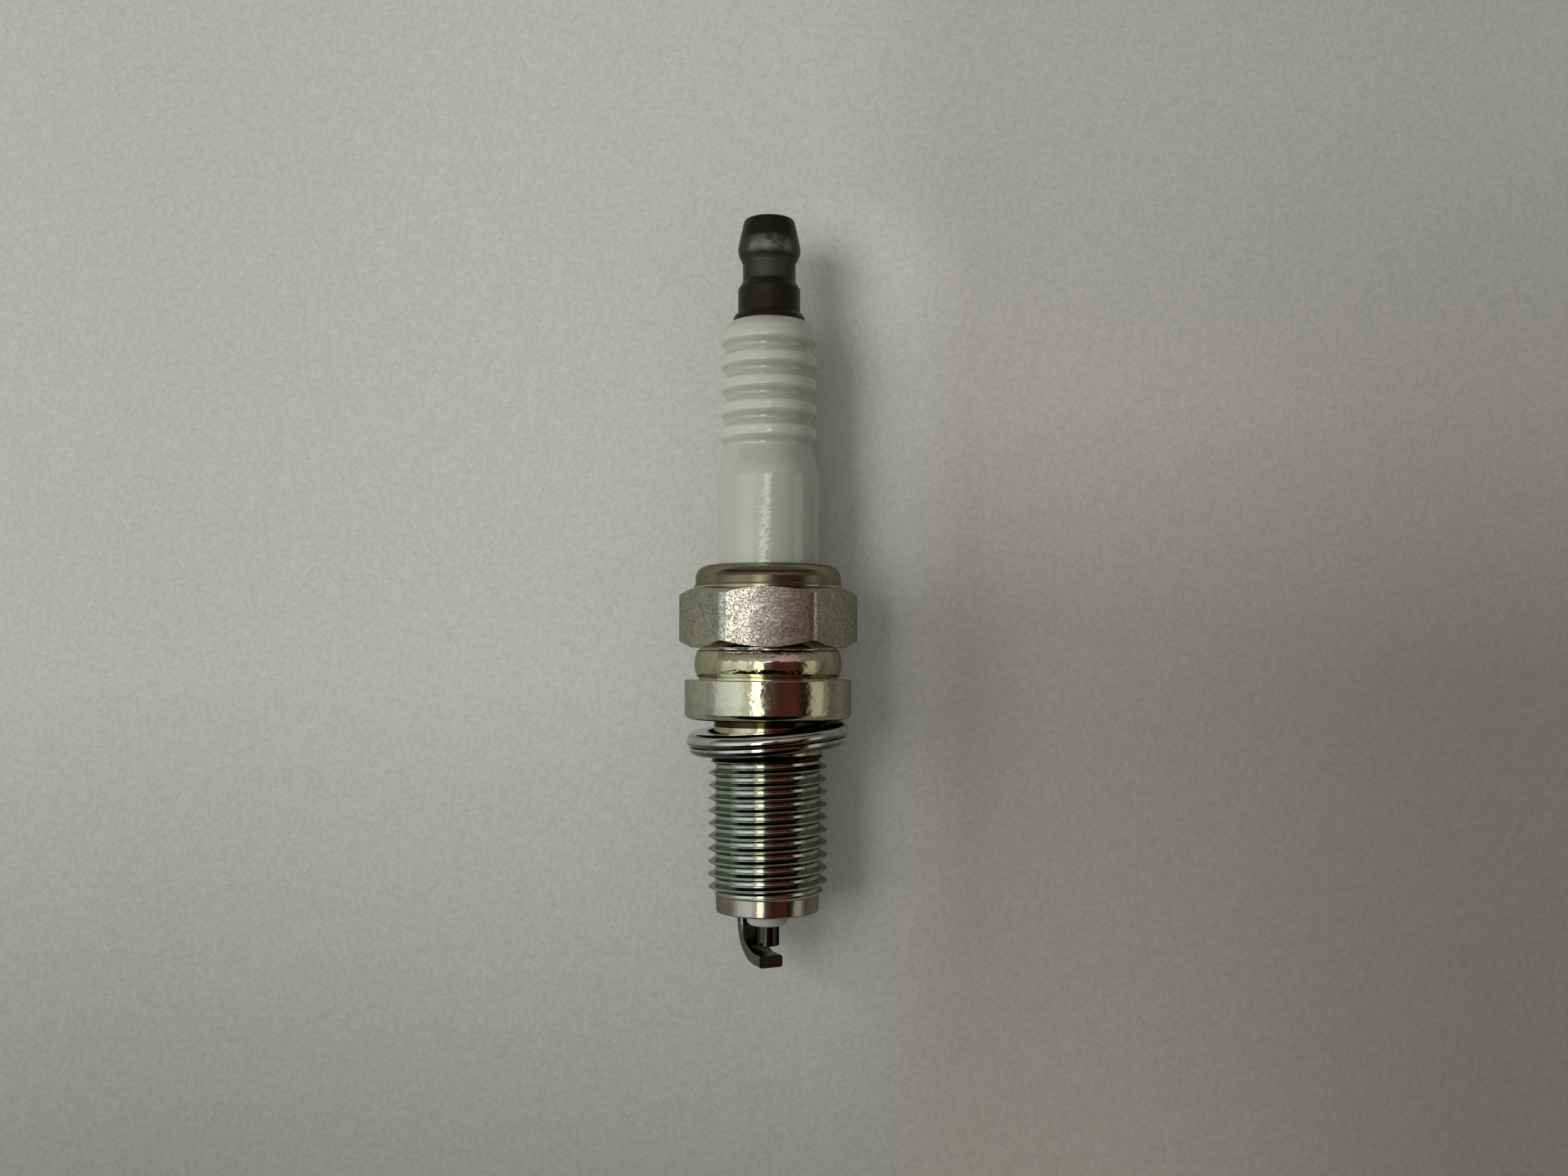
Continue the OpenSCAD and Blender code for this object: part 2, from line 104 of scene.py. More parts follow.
def srgb(r, g, b):
    """A colour read as 0 to 255 in the photograph, as the linear colour that a shader wants."""
    def one(v):
        v /= 255
        return v / 12.92 if v <= 0.04045 else ((v + 0.055) / 1.055) ** 2.4
    return (one(r), one(g), one(b), 1.0)


# ---------------------------------------------------------------- node helpers


class Tree:
    """A small hand for writing node trees: it makes nodes, sets their inputs and joins them."""

    def __init__(self, tree):
        self.tree = tree

    def node(self, kind, inputs=None, **settings):
        made = self.tree.nodes.new(kind)
        for name, value in settings.items():
            setattr(made, name, value)
        for name, value in (inputs or {}).items():
            self.feed(made, name, value)
        return made

    def feed(self, node, name, value):
        socket = node.inputs[name]
        if isinstance(value, bpy.types.NodeSocket):
            self.tree.links.new(value, socket)
        else:
            socket.default_value = value

    def math(self, operation, a, b=0.0, c=0.0, clamp=False):
        made = self.node("ShaderNodeMath", {0: a, 1: b, 2: c}, operation=operation)
        made.use_clamp = clamp
        return made.outputs[0]

    def step(self, value, low, high, to_low=0.0, to_high=1.0, smooth=True):
        """A ramp from to_low to to_high while value goes from low to high."""
        made = self.node("ShaderNodeMapRange", {0: value, 1: low, 2: high, 3: to_low, 4: to_high})
        made.interpolation_type = "SMOOTHSTEP" if smooth else "LINEAR"
        made.clamp = True
        return made.outputs[0]

    def band(self, value, start, end, soft):
        """1 between start and end, with soft edges."""
        rise = self.step(value, start - soft, start + soft)
        fall = self.step(value, end - soft, end + soft)
        return self.math("SUBTRACT", rise, fall, clamp=True)

    def mix(self, factor, a, b, blend="MIX"):
        made = self.node("ShaderNodeMix", data_type="RGBA", blend_type=blend)
        made.clamp_factor = True
        self.feed(made, 0, factor)
        self.feed(made, 6, a)
        self.feed(made, 7, b)
        return made.outputs[2]

    def ramp(self, value, stops, interpolation="LINEAR"):
        """A colour ramp through stops, each (place, colour)."""
        made = self.node("ShaderNodeValToRGB", {0: value})
        ramp = made.color_ramp
        ramp.interpolation = interpolation
        while len(ramp.elements) > 1:
            ramp.elements.remove(ramp.elements[-1])
        ramp.elements[0].position, ramp.elements[0].color = stops[0]
        for place, colour in stops[1:]:
            ramp.elements.new(place).color = colour
        return made.outputs[0]

    def noise(self, vector, scale, detail=3.0, roughness=0.5, distortion=0.0):
        made = self.node("ShaderNodeTexNoise", {
            "Vector": vector, "Scale": scale, "Detail": detail,
            "Roughness": roughness, "Distortion": distortion})
        return made.outputs[0]

    def bump(self, height, strength, distance):
        made = self.node("ShaderNodeBump", {
            "Height": height, "Strength": strength, "Distance": distance})
        return made.outputs[0]


def new_material(name):
    """A new material's parts: itself, its tree, its Principled shader and object coordinates."""
    material = bpy.data.materials.new(name)
    material.use_nodes = True
    material.node_tree.nodes.clear()
    t = Tree(material.node_tree)
    shader = t.node("ShaderNodeBsdfPrincipled")
    t.node("ShaderNodeOutputMaterial", {"Surface": shader.outputs[0]})
    place = t.node("ShaderNodeTexCoord").outputs["Object"]
    return material, t, shader, place


def use_material(obj, material):
    """Every slot of obj takes this material."""
    obj.data.materials.clear()
    obj.data.materials.append(material)


def colour_prop(name, description, value):
    return bpy.props.FloatVectorProperty(
        name=name, description=description, default=value[:3], subtype="COLOR",
        size=3, min=0.0, max=1.0)


def rgba(colour):
    return (colour[0], colour[1], colour[2], 1.0)


# ---------------------------------------------------------------- settings


class ThreadSettings(bpy.types.PropertyGroup):
    """Sizes of the mounting thread."""

    pitch: bpy.props.FloatProperty(
        name="Pitch", description="Rise of one turn",
        default=1.25 * MM, unit="LENGTH", precision=5)
    crest_radius: bpy.props.FloatProperty(
        name="Crest radius", description="Outside radius of the thread",
        default=5.93 * MM, unit="LENGTH", precision=5)
    root_radius: bpy.props.FloatProperty(
        name="Root radius", description="Radius at the bottom of the thread",
        default=5.2 * MM, unit="LENGTH", precision=5)
    segments: bpy.props.IntProperty(
        name="Segments", description="Faces round one turn", default=144, min=24)
    rows: bpy.props.IntProperty(
        name="Rows", description="Faces across one pitch", default=24, min=8)


class ShellSettings(bpy.types.PropertyGroup):
    """Colours of the plated steel shell."""

    pilot: colour_prop("Pilot", "Plate on the pilot", (0.32, 0.30, 0.265))
    thread: colour_prop("Thread", "Plate on the thread", (0.43, 0.46, 0.43))
    neck: colour_prop("Neck", "Plate on the neck", (0.44, 0.42, 0.29))
    # Painted shade: the near-black colour at both ends of the neck, under the collar and where the
    # thread runs out by the gasket.
    seat: colour_prop(
        "Neck's ends", "Dark film in the corners at both ends of the neck", (0.03, 0.03, 0.012))
    collar: colour_prop("Collar", "Plate on the collar", (0.46, 0.46, 0.36))
    buckle: colour_prop("Buckled ring", "Plate on the buckled ring", (0.44, 0.43, 0.29))
    hexagon: colour_prop("Hexagon", "Plate on the hexagon", (0.51, 0.51, 0.40))
    crimp: colour_prop("Crimp", "Plate on the crimp", (0.25, 0.24, 0.16))
    bronze: colour_prop("Bronzed film", "Brown film on the crimp", (0.145, 0.125, 0.09))
    rim: colour_prop("Crimped rim", "Plate on the rolled-in rim", (0.25, 0.24, 0.17))
    mauve: colour_prop(
        "Mauve film", "Pink film where the plate is seen straight on", (0.56, 0.52, 0.54))
    edge: colour_prop("Edge tint", "Tint at a grazing angle", (0.55, 0.57, 0.52))


class InsulatorSettings(bpy.types.PropertyGroup):
    """Colours of the ceramic insulator."""

    glaze: colour_prop("Glaze", "Glazed barrel", srgb(152, 153, 144))
    rib: colour_prop("Rib glaze", "Glaze on the ribs", srgb(164, 165, 155))
    # Painted shade: the darker glaze colour in the grooves between the ribs.
    groove_shade: colour_prop("Groove glaze", "Thicker glaze in the grooves", srgb(144, 144, 131))
    nose: colour_prop("Nose", "Unglazed nose", srgb(150, 145, 141))


class TerminalSettings(bpy.types.PropertyGroup):
    """Colours of the terminal stud."""

    coat: colour_prop("Coat", "Dark phosphate coat", srgb(30, 31, 27))
    neck: colour_prop("Neck", "Coat on the neck under the head", srgb(62, 62, 57))
    # Rubbed steel on the head, which also stands in as a painted sheen of the lamp on the head's
    # belly.
    worn: colour_prop("Worn", "Rubbed steel on the head", srgb(118, 117, 110))
    brown: colour_prop("Brown", "Brown bloom at the foot", srgb(30, 22, 16))


class ElectrodeSettings(bpy.types.PropertyGroup):
    """Colours of the two electrodes."""

    nickel: colour_prop("Nickel", "Machined nickel alloy", (0.22, 0.217, 0.2))
    # Painted dark reflection: the centre electrode is the strap's nickel, darkened for the dark
    # things it reflects.
    tip: colour_prop("Tip", "Darker centre electrode", (0.05, 0.047, 0.043))
    nickel_edge: colour_prop("Nickel edge", "Strap at a grazing angle", (0.6, 0.6, 0.57))
    shaded_tip_edge: colour_prop("Tip edge", "Centre electrode at a grazing angle", (0.16, 0.15, 0.14))


class GasketSettings(bpy.types.PropertyGroup):
    """Colours of the folded gasket."""

    plate: colour_prop("Plate", "Bright plating", (0.42, 0.43, 0.41))


class StageSettings(bpy.types.PropertyGroup):
    """The camera, and how far down the table is."""

    lens: bpy.props.FloatProperty(
        name="Lens", description="Focal length on a 36 mm sensor", default=33.15)
    sensor: bpy.props.FloatProperty(name="Sensor", description="Sensor width", default=36.0)
    camera_place: bpy.props.FloatVectorProperty(
        name="Camera place", description="Where the camera stands", subtype="TRANSLATION",
        unit="LENGTH", precision=5, default=(1.6 * MM, 6.39 * MM, 145.2 * MM))
    camera_pitch: bpy.props.FloatProperty(
        name="Camera pitch", description="Lean of the line of sight towards the terminal",
        default=math.radians(2.66), unit="ROTATION")
    camera_roll: bpy.props.FloatProperty(
        name="Camera roll", description="Turn about the line of sight",
        default=math.radians(0.15), unit="ROTATION")
    collar_radius: bpy.props.FloatProperty(
        name="Collar radius",
        description="The plug lies on its collar, so the table is this far down",
        default=8.36 * MM, unit="LENGTH", precision=5)


# ---------------------------------------------------------------- stage


def make_camera(s):
    data = bpy.data.cameras.new("camera")
    data.sensor_fit = "AUTO"
    data.sensor_width = s.sensor
    data.lens = s.lens
    data.clip_start, data.clip_end = 0.01, 10
    camera = bpy.data.objects.new("camera", data)
    bpy.context.scene.collection.objects.link(camera)
    camera.location = s.camera_place
    camera.rotation_euler = (s.camera_pitch, 0, s.camera_roll)
    bpy.context.scene.camera = camera


def camera_numbers():
    """The camera's place, its axes as rows, its shift, and pixels per unit of slope."""
    camera = bpy.context.scene.camera
    data = camera.data
    longest = max(FRAME_W, FRAME_H)
    axes = np.array(camera.rotation_euler.to_matrix()).T
    shift = (data.shift_x * longest, data.shift_y * longest)
    return np.array(camera.location), axes, shift, longest * data.lens / data.sensor_width


def on_surface(tree, x, y):
    """The place on a surface that shows at an image point, or on a miss the one nearest the ray."""
    place, axes, shift, scale = camera_numbers()
    seen = (x - FRAME_W / 2 + shift[0], FRAME_H / 2 - y + shift[1], -scale)
    way = Vector(seen @ axes).normalized()
    start = Vector(place)
    hit = tree.ray_cast(start, way)[0]
    if hit is not None:
        return hit
    reach = start.length
    for _ in range(8):
        hit = tree.find_nearest(start + way * reach)[0]
        reach = (hit - start).dot(way)
    return hit


def in_image(points):
    """Where places show in the frame of the image points, as rows of x and y."""
    place, axes, shift, scale = camera_numbers()
    seen = (np.asarray(points) - place) @ axes.T
    x = FRAME_W / 2 - shift[0] - scale * seen[:, 0] / seen[:, 2]
    y = FRAME_H / 2 + shift[1] + scale * seen[:, 1] / seen[:, 2]
    return np.stack([x, y], axis=1)


def floor_material():
    material, t, shader, place = new_material("table_top")
    axes = t.node("ShaderNodeSeparateXYZ", {0: place})
    x, y = axes.outputs[0], axes.outputs[1]
    past_terminal, past_strap = 0.069, -0.049
    down = t.step(y, past_terminal, past_strap, smooth=False)
    # Painted light and shade on the table: palest at the top left, with a painted shadow over the
    # right side and darker towards the strap's end.
    left = t.ramp(down, [
        (0.0, srgb(175, 175, 169)), (0.33, srgb(176, 176, 170)), (0.55, srgb(174, 174, 169)),
        (0.78, srgb(157, 157, 152)), (1.0, srgb(136, 137, 132))])
    right = t.ramp(down, [
        (0.0, srgb(166, 164, 158)), (0.3, srgb(162, 159, 154)), (0.5, srgb(138, 134, 130)),
        (0.6, srgb(134, 130, 126)), (0.78, srgb(136, 131, 126)), (1.0, srgb(139, 134, 128))])
    far = t.ramp(down, [
        (0.0, srgb(160, 158, 153)), (0.3, srgb(145, 142, 137)), (0.55, srgb(119, 114, 111)),
        (1.0, srgb(115, 111, 107))])
    side = t.step(x, 0.004, 0.022)
    edge = t.step(x, 0.028, 0.080)
    base = t.mix(edge, t.mix(side, left, right), far)
    # Painted shade where the window is nearer, to even out its light, and painted light under the
    # plug's shadow, which is a thin one.
    window_side_shade = t.step(x, -0.075, -0.02, 0.90, 1.0)
    beside, lengthwise = t.band(x, 0.006, 0.017, 0.006), t.band(y, -0.022, 0.052, 0.006)
    shadow_lift = 0.34
    thin = t.math("MULTIPLY", beside, lengthwise)
    lifted = t.math("ADD", 1.0, t.math("MULTIPLY", thin, shadow_lift))
    even = t.math("MULTIPLY", window_side_shade, lifted)
    grain = t.noise(place, 2200, 4, 0.65)
    light = t.math("MULTIPLY", even, t.step(grain, 0.3, 0.7, 0.90, 1.10, smooth=False))
    t.feed(shader, "Base Color", t.mix(1.0, base, light, "MULTIPLY"))
    t.feed(shader, "Roughness", 0.9)
    t.feed(shader, "Normal", t.bump(grain, 0.25, 0.0002))
    return material


def make_world():
    """A plain grey room. What shows in the metal is the room round the table: a window on the left,
    a narrow bright ceiling lamp, dark brown shelves on the right, and whoever holds the camera."""
    world = bpy.data.worlds.new("studio")
    bpy.context.scene.world = world
    world.use_nodes = True
    world.node_tree.nodes.clear()
    t = Tree(world.node_tree)
    way = t.node("ShaderNodeTexCoord").outputs["Generated"]
    x, y, z = t.node("ShaderNodeSeparateXYZ", {0: way}).outputs
    # Degrees round the plug's axis from straight up, and degrees towards the terminal.
    degrees = 180 / math.pi
    roll = t.math("MULTIPLY", t.math("ARCTAN2", x, z), degrees)
    tilt = t.math("MULTIPLY", t.math("ARCSINE", y), degrees)
    # A ray that met two flanks of the thread has been turned further round the axis.
    paths = t.node("ShaderNodeLightPath").outputs
    again = t.step(paths["Glossy Depth"], 1.4, 1.6)
    turned_back, brighter, lowered = 0.69, 1.7, 17
    roll = t.math("MULTIPLY", roll, t.step(again, 0, 1, 1.0, turned_back))
    reach = 110
    share = t.step(roll, -reach, reach, smooth=False)

    def round_axis(*stops):
        """A colour that changes with the roll, through stops of (degrees, colour)."""
        return t.ramp(share, [
            ((angle + reach) / (2 * reach), (*colour, 1)) for angle, colour in stops])

    level = round_axis(
        (-90, (0.42, 0.42, 0.40)), (-82, (0.42, 0.43, 0.41)), (-74, (0.70, 0.73, 0.72)),
        (-64, (0.98, 1.05, 1.05)), (-38, (1.25, 1.32, 1.30)), (-28, (0.85, 0.88, 0.82)),
        (-20, (1.0, 0.97, 0.84)), (-8, (0.9, 0.82, 0.68)), (-4, (0.21, 0.17, 0.155)),
        (8, (0.10, 0.05, 0.04)), (14, (0.10, 0.03, 0.02)), (40, (0.12, 0.035, 0.022)),
        (50, (0.02, 0.012, 0.01)), (59, (0.10, 0.09, 0.07)), (64, (0.62, 0.58, 0.45)),
        (78, (0.68, 0.64, 0.50)), (84, (0.30, 0.29, 0.26)))
    # The lamp: its middle, its width and how far it reaches along the plug.
    lamp_roll = t.math("MULTIPLY", t.step(tilt, 3, 7, -15, 0), t.step(again, 0, 1, 1, 0))
    lamp_roll = t.math("ADD", lamp_roll, t.math("MULTIPLY", again, -13))
    off = t.math("ABSOLUTE", t.math("SUBTRACT", roll, lamp_roll))
    along = t.math("ADD", t.band(tilt, -22, 9.5, 1.5), again)
    lamp = t.math("MULTIPLY", t.step(off, 8, 5), along)
    glow = t.mix(t.band(tilt, 3, 12, 1), (3.4, 3.2, 2.6, 1), (3.9, 3.9, 3.7, 1))
    colour = t.mix(lamp, level, glow)
    # What is seen over the terminal's end fades into dark, with a pale stretch past that.
    above = round_axis(
        (-90, (0.3, 0.3, 0.26)), (-50, (0.40, 0.39, 0.30)), (-20, (0.62, 0.56, 0.46)),
        (0, (0.72, 0.60, 0.54)), (30, (0.58, 0.45, 0.39)), (60, (0.28, 0.24, 0.18)),
        (86, (0.24, 0.22, 0.19)))
    fading = t.mix(t.step(tilt, 17, 33), above, (0.16, 0.12, 0.085, 1))
    fading = t.mix(t.step(tilt, 32, 40), fading, (0.008, 0.007, 0.005, 1))
    fading = t.mix(t.step(tilt, 44, 48), fading, (0.33, 0.32, 0.25, 1))
    direct = t.math("MULTIPLY", t.step(tilt, 8.4, 10), t.step(again, 0, 1, 1, 0))
    strong = t.mix(1.0, colour, t.step(again, 0, 1, 1.0, brighter), "MULTIPLY")
    colour = t.mix(direct, strong, fading)
    # The viewer leans in over the firing end and hides the room there.
    covered = t.step(t.math("ABSOLUTE", roll), 62, 52)
    viewer = t.mix(covered, (0.24, 0.25, 0.21, 1), (0.003, 0.003, 0.003, 1))
    nearer = t.math("SUBTRACT", tilt, t.math("MULTIPLY", again, lowered))
    colour = t.mix(t.step(nearer, -18, -24), colour, viewer)
    mirrored = paths["Is Glossy Ray"]
    plain = (0.36, 0.36, 0.355, 1)
    sky = t.node("ShaderNodeBackground", {
        "Color": t.mix(mirrored, plain, colour), "Strength": 1.0})
    t.node("ShaderNodeOutputWorld", {"Surface": sky.outputs[0]})


def add_lamp(name, place, size, power):
    """A square soft lamp that points at the plug's middle."""
    data = bpy.data.lights.new(name, "AREA")
    data.shape = "RECTANGLE"
    data.size, data.size_y = size
    data.energy = power
    lamp = bpy.data.objects.new(name, data)
    bpy.context.scene.collection.objects.link(lamp)
    lamp.location = place
    aim = Vector((0, PLUG_MIDDLE, 0)) - Vector(place)
    lamp.rotation_euler = aim.to_track_quat("-Z", "Y").to_euler()
    lamp.visible_glossy = False


class PLUG_OT_stage(bpy.types.Operator):
    """Make the table top, the room, the lamps and the camera"""

    bl_idname = "plug.stage"
    bl_label = "Stage"

    def execute(self, context):
        s = context.scene.plug_stage
        make_camera(s)
        mesh = bpy.data.meshes.new("table_top")
        half = 1.2
        z = -s.collar_radius
        mesh.from_pydata(
            [(-half, -half, z), (half, -half, z), (half, half, z), (-half, half, z)],
            [], [(0, 1, 2, 3)])
        floor = bpy.data.objects.new("table_top", mesh)
        context.scene.collection.objects.link(floor)
        use_material(floor, floor_material())
        make_world()
        add_lamp("window", (-0.36, 0.05, 0.43), (0.34, 0.38), 2.9)
        context.scene.view_settings.view_transform = "Standard"
        return {"FINISHED"}


# ---------------------------------------------------------------- shared effects


def grain_group():
    """Fine grain of a surface: a height, a mask, and the thin worm-like lines of an etch."""
    group = bpy.data.node_groups.new("metal_grain", "ShaderNodeTree")
    group.interface.new_socket("Place", in_out="INPUT", socket_type="NodeSocketVector")
    group.interface.new_socket("Scale", in_out="INPUT", socket_type="NodeSocketFloat")
    group.interface.new_socket("Height", in_out="OUTPUT", socket_type="NodeSocketFloat")
    group.interface.new_socket("Mask", in_out="OUTPUT", socket_type="NodeSocketFloat")
    group.interface.new_socket("Worms", in_out="OUTPUT", socket_type="NodeSocketFloat")
    t = Tree(group)
    source = t.node("NodeGroupInput").outputs
    fine = t.noise(source["Place"], source["Scale"], 3, 0.55, 1.2)
    wider = t.math("MULTIPLY", source["Scale"], 0.23)
    wide = t.noise(source["Place"], wider, 2, 0.5)
    t.node("NodeGroupOutput", {
        "Height": t.math("ADD", fine, t.math("MULTIPLY", wide, 0.6)),
        "Mask": t.step(fine, 0.42, 0.6),
        "Worms": t.step(t.math("ABSOLUTE", t.math("SUBTRACT", fine, 0.5)), 0.008, 0.06)})
    return group


def film_group():
    """Colour of a thin passivation film that drifts between three tints."""
    group = bpy.data.node_groups.new("passivation_film", "ShaderNodeTree")
    group.interface.new_socket("Place", in_out="INPUT", socket_type="NodeSocketVector")
    group.interface.new_socket("Scale", in_out="INPUT", socket_type="NodeSocketFloat")
    for name in ("First", "Second", "Third"):
        group.interface.new_socket(name, in_out="INPUT", socket_type="NodeSocketColor")
    group.interface.new_socket("Color", in_out="OUTPUT", socket_type="NodeSocketColor")
    t = Tree(group)
    source = t.node("NodeGroupInput").outputs
    drift = t.noise(source["Place"], source["Scale"], 3, 0.6, 0.8)
    first = t.mix(t.step(drift, 0.38, 0.52), source["First"], source["Second"])
    t.node("NodeGroupOutput", {
        "Color": t.mix(t.step(drift, 0.52, 0.66), first, source["Third"])})
    return group


def shared(name, build):
    """A node group that more than one material uses, built the first time it is asked for."""
    return bpy.data.node_groups.get(name) or build()


def grouped(t, group, **inputs):
    """A group's node in a material, with its inputs fed."""
    made = t.node("ShaderNodeGroup", node_tree=group)
    for name, value in inputs.items():
        t.feed(made, name, value)
    return made


# ---------------------------------------------------------------- shell


def zinc_material(s, film, grain):
    material, t, shader, place = new_material("zinc_passivated")
    x, y, z = t.node("ShaderNodeSeparateXYZ", {0: place}).outputs
    y = t.math("MULTIPLY", y, 1000)
    low, high = -20, 16
    share = t.step(y, low, high, smooth=False)

    def along(*stops):
        """A colour that changes along the shell, through stops of (millimetres, colour)."""
        return t.ramp(share, [
            ((start - low) / (high - low), rgba(colour)) for start, colour in stops], "CONSTANT")

    # The neck's ends take painted shade: near black under the collar and where the thread runs out
    # by the gasket.
    tint = along(
        (low, s.pilot), (-17.2, s.thread), (-4.15, s.seat), (-3.45, s.neck), (-0.85, s.seat),
        (0.02, s.collar), (4.05, s.buckle), (7.0, s.hexagon), (13.1, s.crimp), (14.7, s.rim))
    facing = t.node("ShaderNodeLayerWeight", {"Blend": 0.5}).outputs["Facing"]
    above_collar = t.band(y, 5.6, 13.0, 0.25)
    blush = t.math("MULTIPLY", t.step(facing, 0.35, 0.05), above_collar)
    tint = t.mix(t.math("MULTIPLY", blush, 0.7), tint, rgba(s.mauve))
    crimp = t.step(y, 13.05, 13.15)
    bronzed = t.math("MULTIPLY", t.step(facing, 0.45, 0.15, 0.0, 0.85), crimp)
    tint = t.mix(bronzed, tint, rgba(s.bronze))
    normal = t.node("ShaderNodeTexCoord").outputs["Normal"]
    lean = t.node("ShaderNodeSeparateXYZ", {0: normal}).outputs[1]
    upright = t.step(t.math("ABSOLUTE", lean), 0.25, 0.1)
    drift = grouped(t, film, Place=place, Scale=420, First=(0.86, 0.86, 0.80, 1),
                    Second=(1, 1, 1, 1), Third=(1.05, 1.0, 0.9, 1)).outputs[0]
    filmed = t.mix(1.0, tint, drift, "MULTIPLY")
    t.feed(shader, "Metallic", 1.0)
    t.feed(shader, "Specular Tint", rgba(s.edge))
    flat = t.math("MULTIPLY", t.band(y, 7.15, 12.98, 0.04), upright)
    collar = t.math("MULTIPLY", t.band(y, 0.2, 3.9, 0.1), upright)
    speck = grouped(t, grain, Place=place, Scale=3400)
    etched = t.math("MULTIPLY", flat, t.step(speck.outputs["Worms"], 1, 0, smooth=False))
    etched = t.math("MULTIPLY", etched, 0.85)
    t.feed(shader, "Base Color", t.mix(etched, filmed, (0.06, 0.06, 0.05, 1)))
    dull = t.math("ADD", t.math("MULTIPLY", flat, 0.11), t.math("MULTIPLY", crimp, 0.14))
    t.feed(shader, "Roughness", t.math("ADD", 0.085, dull))
    # The flats bulge a little, which the square of the distance from the axis gives on all six.
    across = t.math("ADD", t.math("MULTIPLY", x, x), t.math("MULTIPLY", z, z))
    bulge = t.math("MULTIPLY", t.math("MULTIPLY", across, 1e6), t.math("MULTIPLY", flat, -0.019))
    curved = t.bump(bulge, 1.0, 0.001)
    depth = t.math("ADD", 0.03, t.math("MULTIPLY", flat, 0.97))
    fine = t.node("ShaderNodeBump", {
        "Height": t.math("MULTIPLY", speck.outputs["Worms"], depth),
        "Strength": 1.0, "Distance": 0.000004, "Normal": curved})
    dents = t.noise(place, 900, 2, 0.5, 0.5)
    buckled = t.math("MULTIPLY", t.band(y, 4.2, 6.9, 0.2), 0.6)
    dented = t.math("ADD", t.math("ADD", 0.22, t.math("MULTIPLY", collar, 0.4)), buckled)
    hammered = t.node("ShaderNodeBump", {
        "Height": t.math("MULTIPLY", dents, dented),
        "Strength": 1.0, "Distance": 0.00008, "Normal": fine.outputs[0]})
    t.feed(shader, "Normal", hammered.outputs[0])
    return material


